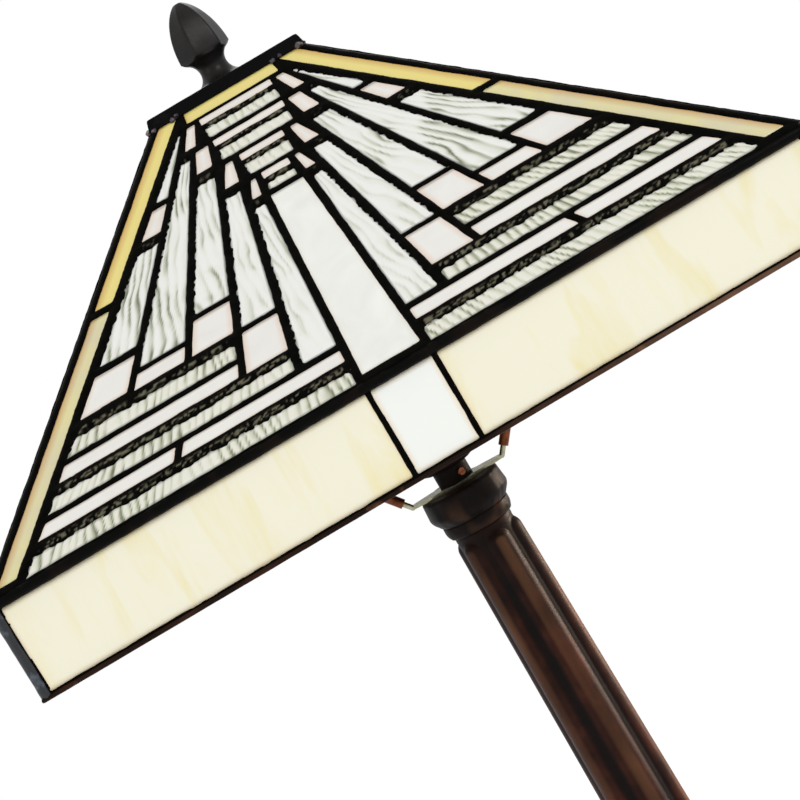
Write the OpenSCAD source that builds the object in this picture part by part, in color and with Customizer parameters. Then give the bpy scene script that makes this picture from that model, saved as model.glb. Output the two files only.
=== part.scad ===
// Table lamp with a square leaded-glass shade on a reeded bronze column.
// The origin is the centre of the felt pad's underside, +Z is up and the front faces -Y.

/* [Overall] */
// Height of the shade's bottom rim above the table
rim_z = 340; // [320:1:360]
// Height of the upright skirt of the shade
skirt_h = 44; // [38:1:52]
// Half width over the skirt
skirt_half = 203; // [200:0.5:206]

/* [Shade slopes] */
// Half width of the glass plane where it meets the skirt line
foot_half = 206.4; // [205:0.1:208]
// Half width of the glass plane under the cap
head_half = 41.5; // [41:0.1:42]
// Rise of the glass plane from the skirt line to the cap
slope_rise = 147.4; // [146:0.2:149]
// Thickness of the lead came
came_t = 4.4; // [4:0.2:5]
// Thickness of the glass
glass_t = 3; // [2.6:0.1:3.2]
// Depth that the glass sits in the came
bite = 0.8; // [0.5:0.1:1]

/* [Panel pattern] */
// Width of a radiating came
lead_w = 4; // [3.6:0.1:4.4]
// Where the radiating cames meet the skirt line, from the centre
fan_foot = [16.8, 41.8, 72.5, 106.3, 149.1, 189.3];
// Where the same cames meet the cap line, from the centre
fan_head = [7.1, 6.8, 9.9, 17.7, 21.1, 24.3];
// Upper edges of the four steps in the centre stack
step_top = [210, 191.5, 173, 154];
// Lower edges of the four steps
step_foot = [194.3, 175.6, 156.4, 140.5];
// Half widths of the four steps
step_half = [20, 19.5, 12, 7.3];
// Inner and outer corners of the white piece beside each step, at its top
side_top = [[22.8, 27.3], [22.3, 29.2], [15.8, 19.8], [10.6, 13.4]];
// Inner and outer corners of the same piece, at its foot
side_foot = [[27.6, 33.6], [25.4, 34], [18, 25.8], [12, 17.2]];
// Lower and upper ends of the radiating clear strips
strip_span = [[33, 134.5], [71.5, 150.5], [93.5, 168.5], [82.5, 187.5]];
// Lower and upper ends of the pieces beside the border strip
edge_span = [[172.5, 207], [154, 169.2], [95.5, 148], [73, 91.5]];
// Lower and upper edges of the level bars near the skirt
bar_span = [[56.5, 65], [45.8, 53.4], [32.5, 40.2], [22.2, 29.4], [7.4, 16.2]];
// Place and lean of the joint in the long white bar
bar_split = [99.5, -0.45];
// Height on the slope of the joint in the border strip
border_joint = 127; // [122:1:132]
// Width of the yellow border strip along the level
border_w = 10; // [9:0.5:11]

/* [Cap and finial] */
// How far the folded edge of the cap leans out
cap_flare = 1.6; // [1.4:0.1:1.7]
// Thickness of the cap sheet
cap_t = 1.2; // [1:0.1:1.4]
// Height of the acorn of the finial
acorn_h = 29; // [27:0.5:31]
// Corner radius of the six-sided acorn
acorn_r = 14.4; // [14:0.1:15]

/* [Harp and socket] */
// Half length of the flat of the saddle
saddle_half = 27.2; // [26.5:0.1:28]
// Rise of the saddle's bent ends above the level, in degrees
arm_angle = 52; // [50:1:54]
// Diameter of the harp wire
wire_d = 3.4; // [3.2:0.1:3.6]
// Diameter of the ferrules
ferrule_d = 5.4; // [5:0.1:5.8]
// Diameter of the bulb
bulb_d = 60; // [56:1:62]

/* [Stand] */
// Top of the capital above the table
capital_z = 296.4; // [295.6:0.1:297.2]
// Column radius under the capital
column_top_r = 18.8; // [18.4:0.1:19.2]
// Column radius above the foot
column_foot_r = 22; // [21.5:0.1:22.5]
// Turn of the reeds about the column, in degrees
reed_turn = 12; // [0:1:20]
// Radius of the plinth
plinth_r = 86; // [80:1:92]

/* [Hidden] */
$fn = 64;

// Slope of the glass planes
slope_run = foot_half - head_half;
slope_len = sqrt(slope_run * slope_run + slope_rise * slope_rise);
pitch = atan2(slope_rise, slope_run);
skirt_z = rim_z + skirt_h;
slab_low = 5.4;        // the lattice starts on the eave came
slab_high = 221.5;     // the lattice ends under the cap
hip_gap = 1.7;         // keeps neighbouring lattices apart at the hip
hip_r = 2.1;
eave_r = 2.6;
eave_half = 202.5;
eave_up = 3;           // height of the eave came above the skirt line
eave_z = skirt_z + eave_up;
ball_r = 4;            // solder at the corners of the eave
join_gap = 0.1;        // clearance between cames that butt
hip_pitch = atan2(slope_rise, slope_run * sqrt(2));
hip_len = (slab_high - eave_up / sin(pitch)) * sqrt(1 + cos(pitch) * cos(pitch));
border_edge = 3.4;     // lead between the hip and the border strip
top_band = [212, 220.2];
row_h = 4.8;           // height of a white row in the centre stack
row_gap = 3.4;

// Skirt
rim_t = 5.6;
rim_h = 2.2;
skirt_mid = skirt_half - came_t / 2 - 0.3;
corner_r = 2.7;
skirt_lead = 3;
skirt_top = skirt_h + 1.4;
skirt_end = skirt_mid - came_t / 2 - 0.1;
skirt_span = [rim_h + 1.1, skirt_h + 0.2];
skirt_joint = fan_foot[0] - 0.3;
skirt_bite = 0.6;

// Cap, harp and finial heights
cap_top = rim_z + 198;
cap_half = 43;
cap_foot = cap_half + cap_flare;
cap_core = 21;         // half width of the flat middle
frame_t = 1.2;
frame_half = 39.4;
frame_low = cap_top - 8.4;
frame_foot = 207;      // distance up the slope where the frame starts
shelf_top = cap_top - cap_t - 1.5;
stud_r = 3;
stud_h = 14;
cap_hole_r = stud_r + 0.4;
shelf_r = 9.5;
shelf_t = 2.4;
finial_neck_r = 7.6;
finial_foot_r = 15;
stem_h = 16;
acorn_turn = 10;       // turn of its six sides
stem_head_r = 12.2;
stem_arc = 7.6;        // radius of the waist
acorn_flat = acorn_r * cos(30);
acorn_tip = 2;         // half width of the blunt tip
acorn_belly = 3;       // height of the widest part
acorn_in = acorn_flat - acorn_tip;
acorn_up = acorn_h - acorn_belly;
acorn_arc = (acorn_up * acorn_up + acorn_in * acorn_in) / (2 * acorn_in);
insert_r = 4.6;
insert_h = 15;

// Socket
saddle_t = 1.6;
saddle_w = 12;
hub_r = 9.7;
hub_h = 9;
hub_z = capital_z + saddle_t;
cup_r = 17;
cup_h = 8;
shell_z = hub_z + hub_h + cup_h;
shell_h = 44;
liner_t = 0.7;
cup_wall = 0.9;
shell_in = 2.8;        // depth of the shell in the cup
cup_bend = 4;          // height over which the cup swells out of the hub
screw_turn = 25;       // the set screw's turn from the front
knob_z = shell_z + 14;
knob_from = 6;         // the switch shaft starts this far from the axis
shaft_r = 1.6;
bulb_z = shell_z + shell_h;
bulb_neck_r = 13.2;
bulb_h = 80;
bulb_c = bulb_h - bulb_d / 2;
screw_r = 13;
ferrule_h = 16;
ferrule_start = 5.5;
arm_len = 12;
bend_r = 18;
leg_len = 34;
top_bend_r = 40.9;
arm_from = [saddle_half, capital_z + saddle_t / 2];
leg_end = arm_from + leg_len * [cos(arm_angle), sin(arm_angle)];
low_bend = leg_end + bend_r * [-sin(arm_angle), cos(arm_angle)];
harp_half = low_bend[0] + bend_r;
harp_top = shelf_top - shelf_t + 0.8 - wire_d / 2;
top_bend = [harp_half - top_bend_r, harp_top - top_bend_r];
wire_bead = 0.12;      // swell where a bend meets a straight run

// Stand
capital_h = 17;
capital_foot_r = 19.4;
capital_belly = 0.43;  // share of the height where the bell is widest
capital_round = 2.2;   // radius of its top edge
neck_h = 7.3;
neck_r = 19.5;
capital_r = 23.2;
capital_top_r = 22.6;
column_z = 52;
column_top = capital_z - capital_h - neck_h;
column_h = column_top - column_z;
reed_r = 7.7;          // radius of a reed at the top
reed_at = 11.1;        // its distance from the axis
core_in = 2.1;         // depth of the grooves
collar_h = 9;
collar_r = column_top_r - 0.7;
reed_short = 4.5;      // the reeds stop this far below the neck ring
column_scale = column_foot_r / column_top_r;
column_bore = 11.5;    // the casting is hollow between its ends
pipe_r = 4.8;
pipe_bore = 3;
pipe_gap = 0.2;
felt_t = 2;
plinth_step = 12.5;    // height of the plinth's lower step
weight_z = 9.6;
weight_h = 8.4;
washer_t = 1.6;
nut_h = 5;
dome_r = 70;
dome_h = 30;
dome_z = column_z - dome_h;
bush_r = 3.6;
cord_r = 2.6;
bush_z = 7.5;

function lerp(a, b, t) = a + (b - a) * t;
function fan(k, s) = lerp(fan_foot[k], fan_head[k], s / slope_len);
function hip_u(s) = lerp(foot_half, head_half, s / slope_len);
function joint_u(s) = bar_split[0] + bar_split[1] * (s - 26);
function strip_out(s) = hip_u(s) - border_edge;
function strip_in(s) = strip_out(s) - border_w;
// Point [outward, up] of the glass plane at distance s up the slope and n out of the plane
function slope_pt(s, n) = [
    foot_half - s * cos(pitch) + n * sin(pitch),
    skirt_z + s * sin(pitch) + n * cos(pitch)
];

// Height just above the lattice's outer face at a distance out from the axis
function came_top(out) = skirt_z + (foot_half - out) * tan(pitch) + came_t / 2 / cos(pitch) + join_gap;

// Four-sided piece between two levels, from [inner, outer] at its foot and at its top
function quad(span, foot, top) = [
    [foot[0], span[0]], [foot[1], span[0]], [top[1], span[1]], [top[0], span[1]]
];
// Piece between two radiating cames
function fan_quad(span, inner, outer) = quad(span,
    [fan(inner, span[0]) + lead_w / 2, fan(outer, span[0]) - lead_w / 2],
    [fan(inner, span[1]) + lead_w / 2, fan(outer, span[1]) - lead_w / 2]);

// The same piece grown by g on every side
function grow(q, g) =
    let (left = (q[3][0] - q[0][0]) / (q[3][1] - q[0][1]))
    let (right = (q[2][0] - q[1][0]) / (q[2][1] - q[1][1]))
    let (out_left = g * sqrt(1 + left * left), out_right = g * sqrt(1 + right * right))
    [
        [q[0][0] - left * g - out_left, q[0][1] - g],
        [q[1][0] - right * g + out_right, q[1][1] - g],
        [q[2][0] + right * g + out_right, q[2][1] + g],
        [q[3][0] + left * g - out_left, q[3][1] + g]
    ];

// Right-hand pieces of one panel; the left-hand ones mirror them
white_right = concat(
    [for (k = [0:3]) quad([step_foot[k], step_top[k] - 1], side_foot[k], side_top[k])],
    [for (k = [1:3]) fan_quad([k == 1 ? 45.5 : 71.5, strip_span[k][0] - 2.8], k, k + 1)],
    [for (k = [1, 3]) fan_quad(edge_span[k], 4, 5)],
    [fan_quad(bar_span[1], 2, 5)],
    [quad(bar_span[3], [fan(0, 21.5) + lead_w / 2, joint_u(21.5) - lead_w / 2],
        [fan(0, 30) + lead_w / 2, joint_u(30) - lead_w / 2])],
    [quad(bar_span[3], [joint_u(21.5) + lead_w / 2, fan(5, 21.5) - lead_w / 2],
        [joint_u(30) + lead_w / 2, fan(5, 30) - lead_w / 2])]
);
clear_right = concat(
    [for (k = [0:3]) fan_quad(strip_span[k], k, k + 1)],
    [for (k = [0, 2]) fan_quad(edge_span[k], 4, 5)],
    [fan_quad(bar_span[0], 2, 5), fan_quad(bar_span[2], 1, 5), fan_quad(bar_span[4], 0, 5)]
);
// Pieces that straddle the centre line
white_centre = concat(
    [for (k = [0:3]) quad([step_top[k] - row_h, step_top[k]],
        [-step_half[k], step_half[k]], [-step_half[k], step_half[k]])],
    [quad([10.2, 137], [-fan(0, 10.2) + lead_w / 2, fan(0, 10.2) - lead_w / 2],
        [-fan(0, 137) + lead_w / 2, fan(0, 137) - lead_w / 2])]
);
clear_centre = [for (k = [0:3]) quad([step_foot[k], step_top[k] - row_h - row_gap],
    [-step_half[k], step_half[k]], [-step_half[k], step_half[k]])];
border_right = [
    for (span = [[10.2, border_joint - 2], [border_joint + 2, top_band[1]]])
        quad(span, [strip_in(span[0]), strip_out(span[0])], [strip_in(span[1]), strip_out(span[1])])
];
border_centre = [quad(top_band, [-26, 26], [-25, 25])];

// Repeated helpers
module on_side(k) rotate([0, 0, 90 * k]) children();
module on_panel(k)
    on_side(k) translate([0, -foot_half, skirt_z]) rotate([pitch, 0, 0]) children();
module on_skirt(k)
    on_side(k) translate([0, -skirt_mid, rim_z]) rotate([90, 0, 0]) children();
// Draws four-sided pieces, grown on every side; the mirrored ones lie left of the centre line
module pieces(list, mirrored, more) for (q = list) {
    polygon(grow(q, more));
    if (mirrored) mirror([1, 0]) polygon(grow(q, more));
}
module tube(r_out, r_in, h) difference() {
    cylinder(r = r_out, h = h);
    translate([0, 0, -1]) cylinder(r = r_in, h = h + 2);
}
// Extrudes an [outward, up] outline along all four sides, mitred at the corners
module square_ring() for (k = [0:3]) on_side(k) intersection() {
    rotate([90, 0, -90]) translate([0, 0, -300]) linear_extrude(600) children();
    linear_extrude(700) polygon([[0, 0], [-260, -260], [260, -260]]);
}

// Panel outlines
module slab_outline() polygon([
    [-hip_u(slab_low) + hip_gap, slab_low], [hip_u(slab_low) - hip_gap, slab_low],
    [hip_u(slab_high) - hip_gap, slab_high], [-hip_u(slab_high) + hip_gap, slab_high]
]);
module came_slab(k) on_panel(k) translate([0, 0, -came_t / 2]) linear_extrude(came_t) slab_outline();

module came_lattice(k) color([0.07, 0.07, 0.06]) on_panel(k) difference() {
    translate([0, 0, -came_t / 2]) linear_extrude(came_t) slab_outline();
    translate([0, 0, -came_t]) linear_extrude(2 * came_t) all_pieces(0);
    translate([0, 0, -glass_t / 2]) linear_extrude(glass_t) all_pieces(bite);
}
module all_pieces(more) {
    pieces(white_right, true, more);
    pieces(clear_right, true, more);
    pieces(border_right, true, more);
    pieces(white_centre, false, more);
    pieces(clear_centre, false, more);
    pieces(border_centre, false, more);
}
module panel_glass(k) on_panel(k) translate([0, 0, -glass_t / 2]) linear_extrude(glass_t) children();
module border_glass(k) color([0.92, 0.87, 0.55]) panel_glass(k) {
    pieces(border_right, true, bite);
    pieces(border_centre, false, bite);
}
module white_glass(k) color([0.9, 0.9, 0.88]) panel_glass(k) {
    pieces(white_right, true, bite);
    pieces(white_centre, false, bite);
}
module clear_glass(k) color([0.8, 0.84, 0.8, 0.7]) panel_glass(k) {
    pieces(clear_right, true, bite);
    pieces(clear_centre, false, bite);
}

// Skirt: outlines lie in [along, up] with up from the rim
skirt_right = [quad(skirt_span, [skirt_joint + skirt_lead / 2, skirt_end - 1],
    [skirt_joint + skirt_lead / 2, skirt_end - 1])];
skirt_centre = [quad(skirt_span, [-skirt_joint + skirt_lead / 2, skirt_joint - skirt_lead / 2],
    [-skirt_joint + skirt_lead / 2, skirt_joint - skirt_lead / 2])];
module skirt_slab(k) on_skirt(k) translate([-skirt_end, rim_h, -came_t / 2])
    cube([2 * skirt_end, skirt_top - rim_h, came_t]);
module skirt_pieces(more) {
    pieces(skirt_right, true, more);
    pieces(skirt_centre, false, more);
}
module skirt_came(k) color([0.07, 0.07, 0.06]) difference() {
    skirt_slab(k);
    on_skirt(k) translate([0, 0, -came_t]) linear_extrude(2 * came_t) skirt_pieces(0);
    on_skirt(k) translate([0, 0, -glass_t / 2]) linear_extrude(glass_t) skirt_pieces(skirt_bite);
}
module skirt_glass(k) color([0.95, 0.93, 0.82]) on_skirt(k)
    translate([0, 0, -glass_t / 2]) linear_extrude(glass_t) skirt_pieces(skirt_bite);

// Cames that join the sides
module solder_balls(r) for (k = [0:3]) on_side(k) translate([eave_half, -eave_half, eave_z]) sphere(r = r);
module eave_came() color([0.07, 0.07, 0.06]) difference() {
    union() {
        square_ring() translate([eave_half, eave_z]) circle(r = eave_r);
        solder_balls(ball_r);
    }
    for (k = [0:3]) came_slab(k);
    for (k = [0:3]) skirt_slab(k);
}
module hip_cames() color([0.07, 0.07, 0.06]) difference() {
    for (k = [0:3]) on_side(k) translate([eave_half, -eave_half, eave_z])
        rotate([0, 90 - hip_pitch, 135]) cylinder(r = hip_r, h = hip_len);
    for (k = [0:3]) came_slab(k);
    solder_balls(ball_r + join_gap);
    square_ring() translate([eave_half, eave_z]) circle(r = eave_r + join_gap);
    square_ring() translate([0, frame_low]) square([frame_half + join_gap, cap_top - frame_low]);
}
module corner_cames() color([0.08, 0.08, 0.09]) difference() {
    for (k = [0:3]) on_side(k) translate([skirt_mid, -skirt_mid, rim_z + rim_h])
        cylinder(r = corner_r, h = skirt_h - rim_h - 1);
    for (k = [0:3]) skirt_slab(k);
}
module bottom_rim() color([0.25, 0.15, 0.1]) square_ring()
    translate([skirt_mid - rim_t / 2, rim_z]) square([rim_t, rim_h]);

// Cap, its frame and what the shade hangs from
module shade_cap() color([0.12, 0.12, 0.13]) difference() {
    union() {
        square_ring() polygon([
            [cap_core - 1, cap_top - cap_t], [cap_core - 1, cap_top], [cap_half, cap_top],
            [cap_foot, came_top(cap_foot)], [cap_foot - cap_t, came_top(cap_foot - cap_t)],
            [cap_half - cap_t, cap_top - cap_t]
        ]);
        translate([-cap_core, -cap_core, cap_top - cap_t]) cube([2 * cap_core, 2 * cap_core, cap_t]);
    }
    translate([0, 0, cap_top - 2 * cap_t]) cylinder(r = cap_hole_r, h = 4 * cap_t);
}
module cap_frame() color([0.55, 0.42, 0.2]) square_ring() polygon([
    [frame_half - frame_t, cap_top - cap_t], [frame_half, cap_top - cap_t],
    slope_pt(slab_high, -came_t / 2 - join_gap), slope_pt(frame_foot, -came_t / 2 - join_gap),
    slope_pt(frame_foot, -came_t / 2 - frame_t), slope_pt(slab_high + 1.3, -came_t / 2 - frame_t)
]);
module seat_washer() color([0.7, 0.55, 0.25]) translate([0, 0, shelf_top])
    tube(9.5, stud_r + 0.3, cap_top - cap_t - shelf_top);

// Finial
module acorn_slab() rotate([90, 0, 0]) translate([0, 0, -acorn_h])
    linear_extrude(2 * acorn_h) intersection() {
    translate([acorn_flat - acorn_arc, acorn_belly]) circle(r = acorn_arc, $fn = 120);
    translate([acorn_arc - acorn_flat, acorn_belly]) circle(r = acorn_arc, $fn = 120);
    translate([-acorn_h, 0]) square([2 * acorn_h, acorn_h]);
}
module finial() color([0.2, 0.2, 0.21]) difference() {
    translate([0, 0, cap_top]) union() {
        rotate_extrude() difference() {
            union() {
                square([finial_foot_r, stem_h / 2]);
                square([stem_head_r, stem_h]);
            }
            translate([finial_neck_r + stem_arc, stem_arc + 1]) circle(r = stem_arc);
        }
        translate([0, 0, stem_h]) intersection_for (turn = [0, 60, 120])
            rotate([0, 0, turn + 90 + acorn_turn]) acorn_slab();
    }
    translate([0, 0, cap_top - 1]) cylinder(r = insert_r + 0.02, h = insert_h + 1.2);
}
module finial_insert() color([0.75, 0.6, 0.3]) translate([0, 0, cap_top])
    tube(insert_r, stud_r + 0.25, insert_h);

// Harp
module along_arm(at) translate([arm_from[0] + at * cos(arm_angle), 0, arm_from[1] + at * sin(arm_angle)])
    rotate([0, 90 - arm_angle, 0]) children();
module harp_side() {
    along_arm(arm_len + 0.3) cylinder(d = wire_d, h = leg_len - arm_len - 0.3);
    translate([low_bend[0], 0, low_bend[1]]) rotate([90, 0, 0]) rotate([0, 0, arm_angle - 90])
        rotate_extrude(angle = 90 - arm_angle) translate([bend_r, 0]) circle(d = wire_d);
    translate([harp_half, 0, low_bend[1]]) cylinder(d = wire_d, h = top_bend[1] - low_bend[1]);
    for (end = [leg_end, [harp_half, low_bend[1]], [harp_half, top_bend[1]], [top_bend[0], harp_top]])
        translate([end[0], 0, end[1]]) sphere(d = wire_d + wire_bead);
    translate([top_bend[0], 0, top_bend[1]]) rotate([90, 0, 0])
        rotate_extrude(angle = 90) translate([top_bend_r, 0]) circle(d = wire_d);
}
module harp() color([0.72, 0.56, 0.25]) {
    harp_side();
    mirror([1, 0, 0]) harp_side();
    translate([-top_bend[0], 0, harp_top]) rotate([0, 90, 0]) cylinder(d = wire_d, h = 2 * top_bend[0]);
    translate([0, 0, shelf_top - shelf_t]) cylinder(r = shelf_r, h = shelf_t);
    translate([0, 0, shelf_top]) cylinder(r = stud_r, h = stud_h);
}
module ferrule(side) color([0.6, 0.36, 0.24]) mirror([side, 0, 0]) along_arm(ferrule_start)
    tube(ferrule_d / 2, wire_d / 2 + 0.08, ferrule_h);
module harp_saddle() color([0.45, 0.36, 0.24]) {
    translate([0, 0, capital_z]) linear_extrude(saddle_t) difference() {
        polygon([
            [-saddle_half, -3], [-16, -saddle_w / 2], [16, -saddle_w / 2], [saddle_half, -3],
            [saddle_half, 3], [16, saddle_w / 2], [-16, saddle_w / 2], [-saddle_half, 3]
        ]);
        circle(r = pipe_r + pipe_gap);
    }
    for (side = [0, 1]) mirror([side, 0, 0]) {
        along_arm(0) cylinder(r = 1.5, h = arm_len);
        along_arm(0) sphere(r = 1.5);
    }
}

// Socket
module socket_cap() color([0.3, 0.2, 0.15]) difference() {
    translate([0, 0, hub_z]) rotate_extrude() polygon([
        [pipe_r + 0.05, 0], [hub_r, 0], [hub_r, hub_h - 0.4],
        for (a = [0:15:90]) [hub_r + (cup_r - hub_r) * sin(a), hub_h + cup_bend * (1 - cos(a))],
        [cup_r, hub_h + cup_h], [cup_r - cup_wall, hub_h + cup_h], [cup_r - cup_wall, hub_h + cup_bend + 1],
        [hub_r, hub_h + 1.4], [pipe_r + 0.05, hub_h + 1.4]
    ]);
    set_screw_hole(2.05);
}
module set_screw_hole(r) translate([0, 0, hub_z + hub_h / 2]) rotate([90, 0, screw_turn])
    translate([0, 0, pipe_r + 0.1]) cylinder(r = r, h = 6.4);
module set_screw() color([0.8, 0.55, 0.4]) difference() {
    set_screw_hole(2);
    translate([0, 0, hub_z + hub_h / 2]) rotate([90, 0, screw_turn])
        translate([-3, -0.4, pipe_r + 5.7]) cube([6, 0.8, 3]);
}
module shaft_hole(r) translate([0, 0, knob_z]) rotate([90, 0, 0]) cylinder(r = r, h = 40);
module socket_shell() color([0.62, 0.5, 0.22]) difference() {
    translate([0, 0, shell_z - shell_in])
        tube(cup_r - cup_wall - 0.05, cup_r - cup_wall - 0.65, shell_h + shell_in);
    shaft_hole(3);
}
module socket_liner() color([0.75, 0.68, 0.55]) difference() {
    translate([0, 0, shell_z - 2]) tube(cup_r - 1.6, cup_r - 1.6 - liner_t, shell_h + 1);
    shaft_hole(3);
}
module socket_body() color([0.12, 0.09, 0.07]) difference() {
    translate([0, 0, shell_z - 2]) cylinder(r = cup_r - 2.5, h = 20);
    translate([0, -knob_from + 0.4, 0]) shaft_hole(shaft_r + 0.08);
}
module screw_shell() color([0.8, 0.78, 0.72]) translate([0, 0, shell_z + 18])
    tube(screw_r + 0.7, screw_r + 0.2, shell_h - 20);
module switch_knob() color([0.12, 0.09, 0.07]) translate([0, -knob_from, knob_z]) rotate([90, 0, 0]) {
    cylinder(r = shaft_r, h = 18);
    translate([0, 0, 13]) cylinder(r = 5.5, h = 3);
    translate([-6, -2, 16]) cube([12, 4, 8]);
}

// Bulb
module bulb_outline(r, neck) intersection() {
    square([40, 120]);
    union() {
        translate([0, bulb_c]) circle(r = r, $fn = 96);
        polygon([
            [0, 0], [neck, 0], [neck, 6], [neck + 2, 15], [neck + 6.4, 24], [neck + 12.2, 33.5], [0, bulb_c]
        ]);
    }
}
module bulb_glass() color([0.96, 0.96, 0.95, 0.9])
    translate([0, 0, bulb_z + 2]) rotate_extrude() difference() {
    bulb_outline(bulb_d / 2, bulb_neck_r);
    translate([0, -0.5]) bulb_outline(bulb_d / 2 - 1, bulb_neck_r - 1);
}
module bulb_base() color([0.8, 0.78, 0.7]) {
    translate([0, 0, shell_z + 21]) cylinder(r = screw_r - 0.3, h = bulb_z + 2 - shell_z - 21);
    translate([0, 0, shell_z + 18.4]) cylinder(r = 4, h = 3);
}

// Stand
module lamp_pipe() color([0.7, 0.6, 0.4]) translate([0, 0, 2.6])
    tube(pipe_r, pipe_bore, hub_z + hub_h - 2.6);
module capital() color([0.24, 0.16, 0.12]) translate([0, 0, capital_z - capital_h])
    rotate_extrude() polygon([
        [pipe_r + pipe_gap, 0],
        for (a = [0:10:90])
            [lerp(capital_foot_r, capital_r, sin(a)), capital_belly * capital_h * a / 90],
        for (a = [0:15:90]) [
            capital_top_r - capital_round * (1 - cos(a)),
            capital_h - capital_round * (1 - sin(a))
        ],
        [pipe_r + pipe_gap, capital_h]
    ]);
module neck_ring() color([0.24, 0.16, 0.12]) translate([0, 0, column_top]) rotate_extrude() polygon([
    [pipe_r + pipe_gap, 0],
    for (a = [0:15:90]) [lerp(collar_r, neck_r, sin(a)), (neck_h - 1) * (1 - cos(a))],
    [neck_r, neck_h - 0.6], [neck_r - 0.6, neck_h], [pipe_r + pipe_gap, neck_h]
]);
module column() color([0.22, 0.15, 0.11]) difference() {
    translate([0, 0, column_z]) union() {
        cylinder(r1 = (column_top_r - core_in) * column_scale, r2 = column_top_r - core_in, h = column_h);
        for (k = [0:5]) rotate([0, 0, 60 * k - 90 + reed_turn]) translate([reed_at * column_scale, 0, 0])
            rotate([0, -atan2(reed_at * (column_scale - 1), column_h), 0])
            cylinder(r1 = reed_r * column_scale, r2 = reed_r, h = column_h - reed_short);
        translate([0, 0, column_h - collar_h]) cylinder(r = collar_r, h = collar_h);
        cylinder(r = column_foot_r + 0.4, h = collar_h - 3);
    }
    translate([0, 0, column_z - 1]) cylinder(r = pipe_r + pipe_gap, h = column_h + 2);
    translate([0, 0, column_z + collar_h]) cylinder(r = column_bore, h = column_h - 2 * collar_h);
    translate([0, 0, column_z - collar_h]) cylinder(r = 2 * column_foot_r, h = collar_h);
}
// Ogee of the foot dome: outward distance at height t of 1
function ogee(t) = lerp(dome_r, column_foot_r + 4, (1 - cos(180 * pow(t, 0.8))) / 2);
module base_dome() color([0.22, 0.15, 0.11]) translate([0, 0, dome_z]) difference() {
    rotate_extrude() polygon([
        [0, 0], for (t = [0:0.1:1]) [ogee(t), 2 + t * (dome_h - 5)],
        [column_foot_r + 3, dome_h], [0, dome_h]
    ]);
    translate([0, 0, -1]) cylinder(r1 = dome_r - 10, r2 = 12, h = dome_h - 5);
    cylinder(r = pipe_r + pipe_gap, h = dome_h + 1);
}
module base_plinth() color([0.2, 0.14, 0.1]) difference() {
    rotate_extrude() difference() {
        union() {
            translate([0, felt_t]) square([plinth_r, plinth_step - felt_t]);
            translate([0, plinth_step - 1]) square([plinth_r - 2, 3]);
            translate([0, plinth_step]) square([plinth_r - 5, dome_z - plinth_step]);
        }
        translate([plinth_r - 4, dome_z]) circle(r = 6);
        translate([-1, 0]) square([plinth_r - 4, weight_z + 2]);
        translate([-1, weight_z]) square([plinth_r - 16, weight_h]);
    }
    cylinder(r = pipe_r + pipe_gap, h = 30);
    translate([0, 0, bush_z]) rotate([-90, 0, 0]) cylinder(r = bush_r, h = plinth_r + 5);
}
module cord_bushing() color([0.1, 0.1, 0.1]) translate([0, 0, bush_z]) rotate([-90, 0, 0]) difference() {
    union() {
        translate([0, 0, plinth_r - 7]) cylinder(r = bush_r - 0.02, h = 8);
        translate([0, 0, plinth_r]) cylinder(r = 5, h = 2);
    }
    cylinder(r = cord_r, h = plinth_r + 10);
}
module base_weight() color([0.3, 0.3, 0.32]) translate([0, 0, weight_z])
    tube(plinth_r - 20, pipe_r + pipe_gap, weight_h);
module base_washer() color([0.7, 0.7, 0.7]) translate([0, 0, weight_z - washer_t])
    tube(11, pipe_r + pipe_gap, washer_t);
module base_nut() color([0.7, 0.6, 0.4]) translate([0, 0, weight_z - washer_t - nut_h]) difference() {
    cylinder(r = 8.6, h = nut_h, $fn = 6);
    translate([0, 0, -1]) cylinder(r = pipe_r + 0.05, h = nut_h + 2);
}
module base_felt() color([0.12, 0.25, 0.16]) cylinder(r = plinth_r - 2, h = felt_t);

base_felt();
base_plinth();
base_dome();
base_weight();
base_washer();
base_nut();
cord_bushing();
column();
neck_ring();
capital();
lamp_pipe();
harp_saddle();
harp();
ferrule(1);  // ferrule_left
ferrule(0);  // ferrule_right
socket_cap();
set_screw();
socket_shell();
socket_liner();
socket_body();
screw_shell();
switch_knob();
bulb_glass();
bulb_base();
seat_washer();
shade_cap();
cap_frame();
hip_cames();
eave_came();
corner_cames();
bottom_rim();
came_lattice(0);  // came_front
came_lattice(1);  // came_right
came_lattice(2);  // came_back
came_lattice(3);  // came_left
border_glass(0);  // border_glass_front
border_glass(1);  // border_glass_right
border_glass(2);  // border_glass_back
border_glass(3);  // border_glass_left
white_glass(0);  // white_glass_front
white_glass(1);  // white_glass_right
white_glass(2);  // white_glass_back
white_glass(3);  // white_glass_left
clear_glass(0);  // clear_glass_front
clear_glass(1);  // clear_glass_right
clear_glass(2);  // clear_glass_back
clear_glass(3);  // clear_glass_left
skirt_came(0);  // skirt_came_front
skirt_came(1);  // skirt_came_right
skirt_came(2);  // skirt_came_back
skirt_came(3);  // skirt_came_left
skirt_glass(0);  // skirt_glass_front
skirt_glass(1);  // skirt_glass_right
skirt_glass(2);  // skirt_glass_back
skirt_glass(3);  // skirt_glass_left
finial_insert();
finial();
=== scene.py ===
"""Looks of a stained glass table lamp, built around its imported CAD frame.

Lengths in the code are millimetres in the row frame, and make() turns them into metres.
"""
import math

import bmesh
import bpy
import numpy as np
from mathutils import Matrix, Vector


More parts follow.
